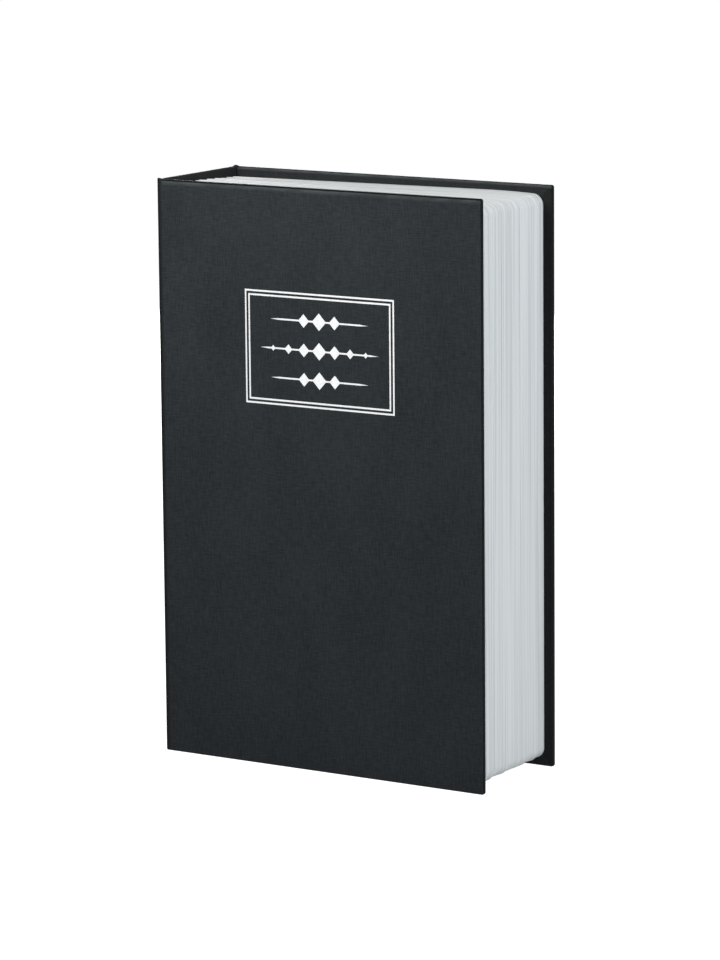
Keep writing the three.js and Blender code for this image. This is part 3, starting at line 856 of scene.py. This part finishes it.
def leaf_stack(rings):
    """The outline of a leaf with its round corners, drawn back through all the rings."""
    low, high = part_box("page_shell")
    centre = (low + high) / 2
    size = high - low
    deselect()
    bpy.ops.mesh.primitive_plane_add(
        size=1, location=(centre.x, low.y, centre.z), rotation=(quarter_turn, 0, 0)
    )
    bpy.context.active_object.scale = (size.x, size.z, 1)
    stack = settle("page_block")
    start_edit(stack)
    pick(stack, "VERT", lambda vert: vert.co.x > high.x - TINY)
    bpy.ops.mesh.bevel(offset=page_corner_radius, segments=page_corner_segments, affect="VERTICES")
    bpy.ops.mesh.select_all(action="SELECT")
    depth_before, place_before = 0, low.y
    for place, depth in rings:
        if place > low.y:
            bpy.ops.mesh.extrude_region_move(
                TRANSFORM_OT_translate={"value": (0, place - place_before, 0)}
            )
        factor = [(half - depth) / (half - depth_before) for half in (size.x / 2, size.z / 2)]
        bpy.ops.transform.resize(
            value=(factor[0], 1, factor[1]), center_override=(centre.x, place, centre.z)
        )
        depth_before, place_before = depth, place
    end_edit()
    return stack


def divide_long_edges(block):
    """Cut the leaves' long edges, so that they can bend, and close the front and the back again."""
    low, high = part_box("page_shell")
    runs = [
        (0, lambda at: at.z > high.z - edge_reach, head_cuts),
        (0, lambda at: at.z < low.z + edge_reach, tail_cuts),
        (2, lambda at: at.x > high.x - edge_reach, fore_edge_cuts),
        (2, lambda at: at.x < low.x + edge_reach, spine_cuts),
    ]
    start_edit(block)
    pick(block, "FACE", lambda face: abs(face.normal.y) > 0.99 and len(face.verts) > 8)
    bpy.ops.mesh.delete(type="ONLY_FACE")
    for axis, is_here, cuts in runs:
        def is_long(edge):
            return edge.calc_length() > 100 * MM and runs_along(edge, axis) and is_here(middle(edge))
        pick(block, "EDGE", is_long)
        bpy.ops.mesh.subdivide(number_cuts=cuts)
    for place in (low.y, high.y):
        pick(block, "EDGE", lambda edge: edge.is_boundary and abs(middle(edge).y - place) < TINY)
        bpy.ops.mesh.edge_face_add()
    end_edit()


def spread(rows, along, across):
    """The value at a place of the block, from rows of values in millimetres."""
    ends = []
    for front, third, back in rows:
        if across < 1 / 3:
            ends.append(front + (third - front) * across * 3)
        else:
            ends.append(third + (back - third) * (across * 3 - 1) / 2)
    return (ends[0] + (ends[1] - ends[0]) * along) * MM


def step_leaves(block, starts):
    """Set the leaves a little askew, shift and slant each bundle, and let the leaves sway."""
    low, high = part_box("page_shell")
    shifts = [(random.uniform(0, spine_step), random.uniform(0, tail_step)) for start in starts]
    shifts[0] = (0, 0)
    for vert in block.data.vertices:
        at = vert.co.copy()
        index = sum(1 for start in starts[1:-1] if at.y > start)
        from_spine = max(0, 1 - (at.x - low.x) / step_reach)
        from_tail = max(0, 1 - (at.z - low.z) / step_reach)
        from_head = max(0, 1 - (high.z - at.z) / step_reach)
        rise = (at.y - starts[index]) / (starts[index + 1] - starts[index])
        across = (at.y - low.y) / (high.y - low.y)
        along = (at.x - low.x) / (high.x - low.x)
        slant = spread(head_slants, along, across)
        droop = corner_droop * across * max(0, 1 - (high.x - at.x) / corner_reach) ** 2
        vert.co.x += shifts[index][0] * from_spine
        vert.co.z += (shifts[index][1] - spread(tail_drops, along, across)) * from_tail
        vert.co.z += (spread(head_lifts, along, across) - droop - slant * (1 - rise)) * from_head
        from_rim = min(1, (at.y - low.y) / sway_rim, (high.y - at.y) / sway_rim)
        sway = noise.noise(Vector([value / length for value, length in zip(at, sway_lengths)]))
        vert.co.y += leaf_sway * sway * from_rim
    start_edit(block)
    bpy.ops.mesh.select_all(action="SELECT")
    bpy.ops.mesh.normals_make_consistent(inside=False)
    end_edit()


def hollow_out(block, window_low, window_high):
    """Leave walls and a rim, with a collar round the window that reaches to the steel box."""
    low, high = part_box("page_shell")
    wall = Vector((window_wall, 0, window_wall))
    hollow_front = low.y + rim_thickness
    hollow = add_block(
        "hollow",
        (low.x + page_wall, hollow_front, low.z + page_wall),
        (high.x - page_wall, high.y + page_wall, high.z - page_wall),
    )
    combine(block, hollow, "DIFFERENCE")
    collar_low, collar_high = window_low - wall, window_high + wall
    collar = add_block(
        "collar",
        (collar_low.x, hollow_front - page_wall / 2, collar_low.z),
        (collar_high.x, window_wall_end, collar_high.z),
    )
    combine(block, collar, "UNION")
    window = add_block(
        "window",
        (window_low.x, low.y - page_wall, window_low.z),
        (window_high.x, high.y, window_high.z),
    )
    combine(block, window, "DIFFERENCE")


def page_block():
    """The moulded shell in the form of a stack of leaves, open at its window and behind."""
    low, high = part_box("page_shell")
    random.seed(page_seed)
    starts = bundle_starts(low.y, high.y)
    block = leaf_stack(bundle_rings(starts))
    divide_long_edges(block)
    step_leaves(block, starts)
    window_low = low + Vector((rim_width, 0, rim_width))
    window_high = high - Vector((rim_width, 0, rim_width))
    hollow_out(block, window_low, window_high)

    def is_window_edge(edge):
        at = middle(edge)
        in_front = max(abs(vert.co.y - low.y) for vert in edge.verts) < TINY
        within_x = window_low.x - TINY < at.x < window_high.x + TINY
        return in_front and within_x and window_low.z - TINY < at.z < window_high.z + TINY

    start_edit(block)
    pick(block, "EDGE", is_window_edge)
    bpy.ops.mesh.bevel(offset=window_edge_radius, segments=3)
    end_edit()
    smooth(block, page_smooth_angle)
    dress(block, "page_plastic")
    return block


pages = page_block()
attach(pages, "safe")
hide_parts("page_shell")


# The steel box, the lid and the lock

body_of = {
    node: body
    for body, nodes in frame["record"]["behaviour"]["bodies"].items()
    for node in nodes
}


def stand_for(piece, node):
    """Finish a piece as the CAD node that it replaces, on the same body."""
    smooth(piece, steel_smooth_angle)
    dress(piece, slot_of[node])
    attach(piece, body_of[node])
    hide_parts(node)


def soften(node, name, width):
    """The CAD node with rounded edges, as bent, coated or stamped steel has them."""
    piece = copy_node(node, name)
    start_edit(piece)
    bpy.ops.mesh.select_all(action="SELECT")
    bpy.ops.mesh.dissolve_limited(angle_limit=math.radians(flat_within_angle))
    end_edit()
    apply_modifier(
        piece, "BEVEL", width=width, segments=2, limit_method="ANGLE",
        angle_limit=math.radians(soften_above_angle), use_clamp_overlap=True,
    )
    stand_for(piece, node)


soften("tray", "folded_box", sheet_edge_radius)
soften("lid", "folded_lid", sheet_edge_radius)
soften("lock_strike", "strike_bracket", sheet_edge_radius)
soften("hinge_leaf_fixed", "fixed_hinge_leaf", leaf_edge_radius)
soften("hinge_leaf_moving", "moving_hinge_leaf", leaf_edge_radius)
soften("lock_washer", "lock_ring", leaf_edge_radius)
soften("cam_washer", "cam_ring", leaf_edge_radius)
soften("lock_plug", "lock_core", fine_edge_radius)
for number in range(1, 5):
    soften(f"rivet_{number}", f"domed_rivet_{number}", leaf_edge_radius)
    soften(f"lock_wafer_{number}", f"brass_wafer_{number}", fine_edge_radius)

lock_low, lock_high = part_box("lock_body")
lock_x, lock_z = (lock_low.x + lock_high.x) / 2, (lock_low.z + lock_high.z) / 2


def turned(name, points):
    """A piece turned round the lock's axis, from points of radius and Y in millimetres."""
    deselect()
    bpy.ops.mesh.primitive_plane_add(size=MM)
    piece = bpy.context.active_object
    piece.name = name
    start_edit(piece)
    bpy.ops.mesh.select_all(action="SELECT")
    bpy.ops.mesh.merge(type="CENTER")
    bpy.ops.mesh.select_mode(type="VERT")
    bpy.ops.mesh.select_all(action="SELECT")
    radius, y = points[0]
    bpy.ops.transform.translate(value=(lock_x + radius * MM, y * MM, lock_z))
    for next_radius, next_y in points[1:]:
        step = ((next_radius - radius) * MM, (next_y - y) * MM, 0)
        bpy.ops.mesh.extrude_region_move(TRANSFORM_OT_translate={"value": step})
        radius, y = next_radius, next_y
    bpy.ops.mesh.select_all(action="SELECT")
    bpy.ops.mesh.spin(
        steps=turned_segments, angle=full_turn, center=(lock_x, 0, lock_z), axis=(0, 1, 0)
    )
    bpy.ops.mesh.select_all(action="SELECT")
    bpy.ops.mesh.remove_doubles(threshold=TINY)
    bpy.ops.mesh.normals_make_consistent(inside=False)
    end_edit()
    return piece


def lock_block(name, x, y, z):
    """A block with X and Z measured from the lock's axis and Y as it is, in millimetres."""
    return add_block(
        name,
        (lock_x + x[0] * MM, y[0] * MM, lock_z + z[0] * MM),
        (lock_x + x[1] * MM, y[1] * MM, lock_z + z[1] * MM),
    )


def lock_cylinder(name, node, sides, radius):
    """A cylinder on the lock's axis, as long as the CAD node."""
    low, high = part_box(node)
    deselect()
    bpy.ops.mesh.primitive_cylinder_add(
        vertices=sides, radius=radius, depth=high.y - low.y,
        location=(lock_x, (low.y + high.y) / 2, lock_z), rotation=(quarter_turn, 0, 0),
    )
    return settle(name)


def lock_barrel():
    """Round head and threaded barrel with two flats."""
    front, back = lock_low.y / MM, lock_high.y / MM
    under_head = front + barrel_head_thickness
    recess = front + barrel_recess_depth
    head = barrel_head_radius
    points = [
        (barrel_recess_radius, recess), (barrel_recess_radius, front + 0.2),
        (barrel_recess_radius + 0.2, front), (head - 0.9, front), (head - 0.5, front + 0.08),
        (head - 0.18, front + 0.3), (head, front + 0.7), (head, under_head - 0.15),
        (head - 0.15, under_head), (thread_root, under_head),
    ]
    y = under_head + thread_from_head
    while y < back - thread_from_end:
        crest = y + thread_flank
        points += [(thread_root, y), (thread_crest, crest), (thread_crest, crest + thread_land)]
        y += thread_pitch
    points += [
        (thread_root, back - 0.4), (thread_root - 0.3, back), (barrel_bore + 0.2, back),
        (barrel_bore, back - 0.2), (barrel_bore, recess), (barrel_recess_radius, recess),
    ]
    barrel = turned("lock_barrel", points)
    past = head + 1
    for side in (-1, 1):
        x = sorted((side * barrel_flat, side * past))
        flat = lock_block("flat", x, (under_head + TINY / MM, back + 1), (-past, past))
        combine(barrel, flat, "DIFFERENCE")
    return barrel


def hexagon_nut():
    """Hexagon nut with its corners and its bore chamfered."""
    low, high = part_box("lock_nut")
    front, back = low.y / MM, high.y / MM
    nut = lock_cylinder("hexagon_nut", "lock_nut", 6, (high.z - low.z) / 2)
    outside = [
        (0, front), (nut_face_radius, front), (nut_corner_radius, front + nut_chamfer),
        (nut_corner_radius, back - nut_chamfer), (nut_face_radius, back), (0, back),
    ]
    combine(nut, turned("outside", outside), "INTERSECT")
    mouth, drop = nut_bore + nut_bore_chamfer, nut_bore_chamfer / 2
    bore = [
        (0, front - drop), (mouth, front - drop), (nut_bore, front + drop),
        (nut_bore, back - drop), (mouth, back + drop), (0, back + drop),
    ]
    combine(nut, turned("bore", bore), "DIFFERENCE")
    return nut


def stamped_cam():
    """Stamped bar with round ends and a square hole for the plug."""
    low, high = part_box("cam")
    radius = (high.x - low.x) / 2
    cam = lock_cylinder("stamped_cam", "cam", turned_segments, radius)
    start_edit(cam)
    pick(cam, "VERT", lambda vert: vert.co.z > lock_z + TINY)
    bpy.ops.transform.translate(value=(0, 0, high.z - radius - lock_z))
    pick(cam, "EDGE", lambda edge: not runs_along(edge, 1))
    bpy.ops.mesh.bevel(offset=leaf_edge_radius, segments=2)
    end_edit()
    side = (-cam_hole_half_width, cam_hole_half_width)
    combine(cam, lock_block("hole", side, (low.y / MM - 1, high.y / MM + 1), side), "DIFFERENCE")
    return cam


def slotted_screw():
    """Screw with a domed, slotted head."""
    low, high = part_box("cam_screw")
    tip, top = low.y / MM, high.y / MM
    head, under_head = screw_head_radius, top - screw_head_thickness
    points = [
        (0, top), (head - 1.4, top - 0.04), (head - 0.6, top - 0.2), (head - 0.18, top - 0.5),
        (head, top - 0.9), (head, under_head + 0.1), (head - 0.1, under_head),
        (screw_shank_radius, under_head), (screw_shank_radius, tip + 0.3),
        (screw_shank_radius - 0.3, tip), (0, tip),
    ]
    screw = turned("slotted_screw", points)
    past = head + 1.4
    width = (-screw_slot_half_width, screw_slot_half_width)
    slot = lock_block("slot", (-past, past), (top - screw_slot_depth, top + 1), width)
    combine(screw, slot, "DIFFERENCE")
    return screw


def coiled_spring(name, node):
    """A wafer's spring, wound from fine wire in the space of its CAD node."""
    low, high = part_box(node)
    coil_middle = (low + high) / 2
    deselect()
    bpy.ops.mesh.primitive_circle_add(
        vertices=spring_wire_sides, radius=spring_wire / 2, rotation=(quarter_turn, 0, 0),
        location=((high.x - low.x - spring_wire) / 2, 0, 0),
    )
    spring = settle(name)
    apply_modifier(
        spring, "SCREW", axis="Z", angle=full_turn,
        steps=spring_turn_steps, render_steps=spring_turn_steps,
        iterations=spring_turns, screw_offset=(high.z - low.z - spring_wire) / spring_turns,
    )
    start_edit(spring)
    bpy.ops.mesh.select_all(action="SELECT")
    bpy.ops.mesh.fill_holes(sides=spring_wire_sides)
    bpy.ops.mesh.select_all(action="SELECT")
    bpy.ops.mesh.normals_make_consistent(inside=False)
    bpy.ops.transform.translate(value=(coil_middle.x, coil_middle.y, low.z + spring_wire / 2))
    end_edit()
    return spring


def hinge_wire():
    """The straight wire that the lid's hinge turns on, with its ends rounded."""
    low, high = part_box("hinge_pin")
    deselect()
    bpy.ops.mesh.primitive_cylinder_add(
        vertices=hinge_wire_sides, radius=(high.x - low.x) / 2, depth=high.z - low.z,
        location=(low + high) / 2,
    )
    wire = settle("hinge_wire")
    start_edit(wire)
    pick(wire, "EDGE", lambda edge: not runs_along(edge, 2))
    bpy.ops.mesh.bevel(offset=sheet_edge_radius, segments=3)
    end_edit()
    return wire


stand_for(hinge_wire(), "hinge_pin")
for number in range(1, 5):
    node = f"wafer_spring_{number}"
    stand_for(coiled_spring(f"coil_spring_{number}", node), node)
stand_for(lock_barrel(), "lock_body")
stand_for(hexagon_nut(), "lock_nut")
stand_for(stamped_cam(), "cam")
stand_for(slotted_screw(), "cam_screw")


# Stage, light and camera

def seen_share(tree):
    """1 for what the camera sees by itself, in a reflection or through glass, and 0 for light."""
    path = add_node(tree, "ShaderNodeLightPath")
    seen = path.outputs["Is Camera Ray"]
    for ray in ("Is Glossy Ray", "Is Transmission Ray"):
        seen = add_node(
            tree, "ShaderNodeMath", {0: seen, 1: path.outputs[ray]}, operation="MAXIMUM"
        ).outputs[0]
    return seen


ambient = 0.12
floor_glow = 0.93
floor_grey = 0.6
floor_size = 16
white = (1, 1, 1, 1)

world = bpy.data.worlds.new("studio")
bpy.context.scene.world = world
world.use_nodes = True
tree = world.node_tree
tree.nodes.clear()
soft_light = add_node(tree, "ShaderNodeBackground", {"Color": white, "Strength": ambient})
white_wall = add_node(tree, "ShaderNodeBackground", {"Color": white, "Strength": 1.0})
both = add_node(
    tree, "ShaderNodeMixShader",
    {0: seen_share(tree), 1: soft_light.outputs[0], 2: white_wall.outputs[0]},
)
add_node(tree, "ShaderNodeOutputWorld", {"Surface": both.outputs[0]})

deselect()
bpy.ops.mesh.primitive_plane_add(size=floor_size)
floor = bpy.context.active_object
floor.name = "floor"
floor_paint, tree, shader = new_material(
    "white_floor",
    Roughness=0.9,
    Specular_IOR_Level=0,
    Base_Color=(floor_grey, floor_grey, floor_grey, 1),
)
glow = add_node(tree, "ShaderNodeEmission", {"Color": white})
lift = add_node(tree, "ShaderNodeMath", {0: seen_share(tree), 1: floor_glow}, operation="MULTIPLY")
tree.links.new(lift.outputs[0], glow.inputs["Strength"])
together = add_node(tree, "ShaderNodeAddShader", {0: shader.outputs[0], 1: glow.outputs[0]})
tree.links.new(together.outputs[0], tree.nodes["Material Output"].inputs["Surface"])
floor.data.materials.append(floor_paint)


def add_lamp(name, place, target, size, power, colour=(1, 1, 1)):
    """A rectangular lamp that looks at its target, with its power in watts."""
    ahead = Vector(target) - Vector(place)
    bpy.ops.object.light_add(
        type="AREA", location=place, rotation=ahead.to_track_quat("-Z", "Y").to_euler()
    )
    lamp = bpy.context.active_object
    lamp.name = name
    lamp.data.shape = "RECTANGLE"
    lamp.data.size, lamp.data.size_y = size
    lamp.data.energy = power
    lamp.data.color = colour


add_lamp(
    "key_lamp", place=(-0.055, -0.298, 0.363), target=(0, -0.03, 0.22), size=(0.2, 0.16),
    power=1.08, colour=(1, 0.96, 0.9),
)
add_lamp(
    "side_lamp", place=(1.2, -0.05, 0.82), target=(0.07, 0, 0.12), size=(0.6, 0.6), power=11.7
)
add_lamp("top_lamp", place=(0.1, 0.2, 1.1), target=(0, 0, 0.24), size=(0.6, 0.6), power=0.55)
add_lamp("back_lamp", place=(-0.5, 1.2, 0.25), target=(0, 0, 0.12), size=(0.8, 0.3), power=14)

camera_place = (0.982841, -1.534396, 0.441455)
camera_yaw, camera_pitch, camera_roll = -0.568875, -0.176173, -0.009072
camera_lens = 169.05

ahead = Vector((
    math.sin(camera_yaw) * math.cos(camera_pitch),
    math.cos(camera_yaw) * math.cos(camera_pitch),
    math.sin(camera_pitch),
))
level = Vector((math.cos(camera_yaw), -math.sin(camera_yaw), 0))
upright = level.cross(ahead)
right = level * math.cos(camera_roll) + upright * math.sin(camera_roll)
up = upright * math.cos(camera_roll) - level * math.sin(camera_roll)
bpy.ops.object.camera_add(location=camera_place)
camera = bpy.context.active_object
camera_turn = Matrix((right, up, -ahead)).transposed().to_4x4()
camera.matrix_world = Matrix.Translation(camera_place) @ camera_turn
camera.data.lens = camera_lens
camera.data.clip_start, camera.data.clip_end = 0.05, 30
bpy.context.scene.camera = camera

bpy.context.scene.view_settings.view_transform = "Standard"
